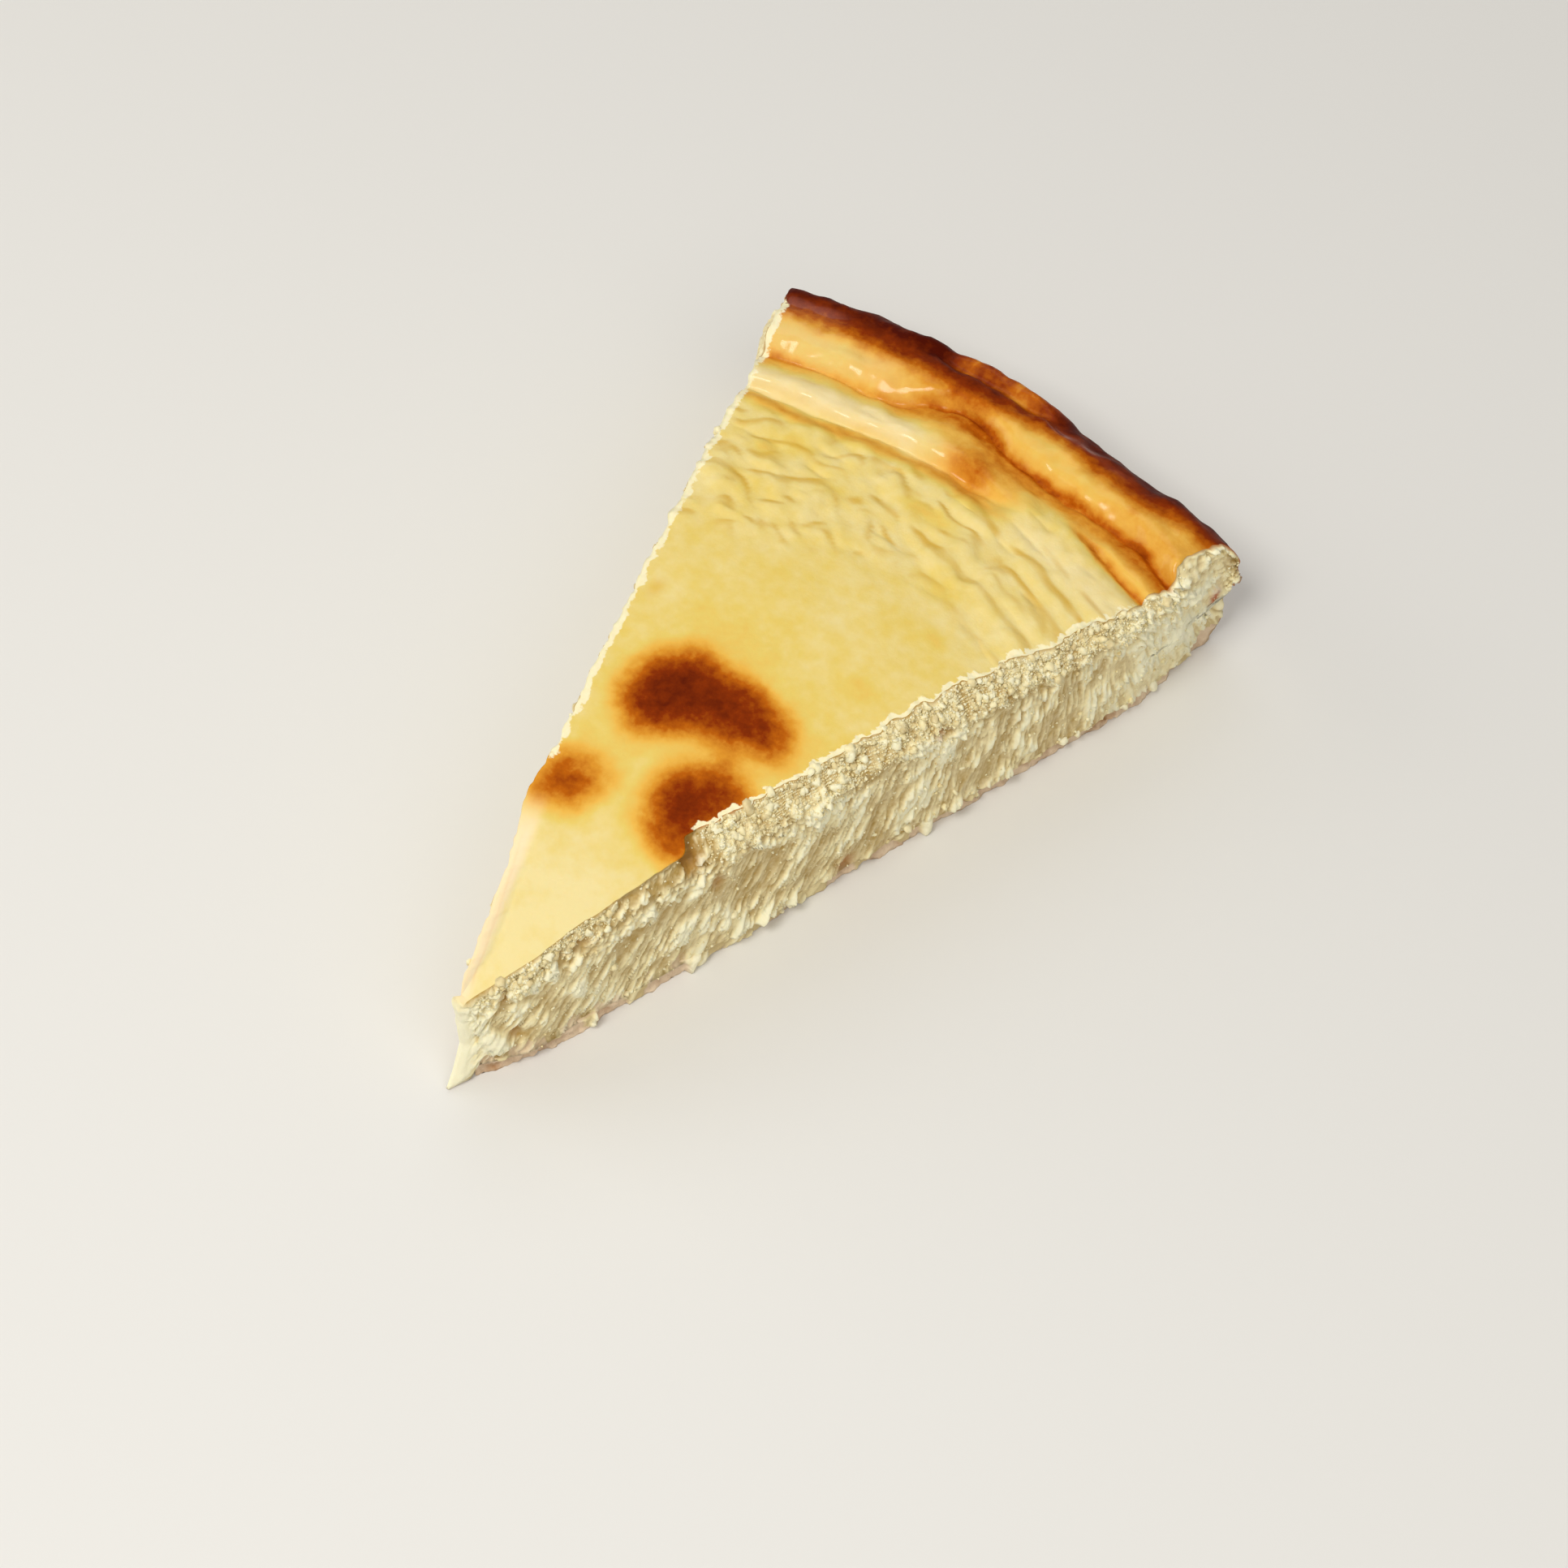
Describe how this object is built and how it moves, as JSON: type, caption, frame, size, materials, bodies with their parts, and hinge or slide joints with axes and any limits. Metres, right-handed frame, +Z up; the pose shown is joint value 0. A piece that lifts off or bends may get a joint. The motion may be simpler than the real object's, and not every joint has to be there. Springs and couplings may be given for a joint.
{
  "type": "cheesecake slice",
  "caption": "Wedge of baked cheesecake with a browned, wrinkled skin on a thin pastry base that turns up at the rim.",
  "frame": {"origin": "middle of the slice's bounding box, on the plane it rests on", "axes": "+Y from the slice's tip to its rim, +X towards the front cut, +Z up"},
  "size_m": [0.0803, 0.1331, 0.0286],
  "materials": {
    "filling": "soft baked cheese filling: yellow skin browned at the rim and in spots, pale crumbly cut sides",
    "pastry": "baked pastry: matt, tan and crumbly"
  },
  "bodies": {
    "root": {"filling": "filling", "pastry_base": "pastry"}
  },
  "joints": []
}
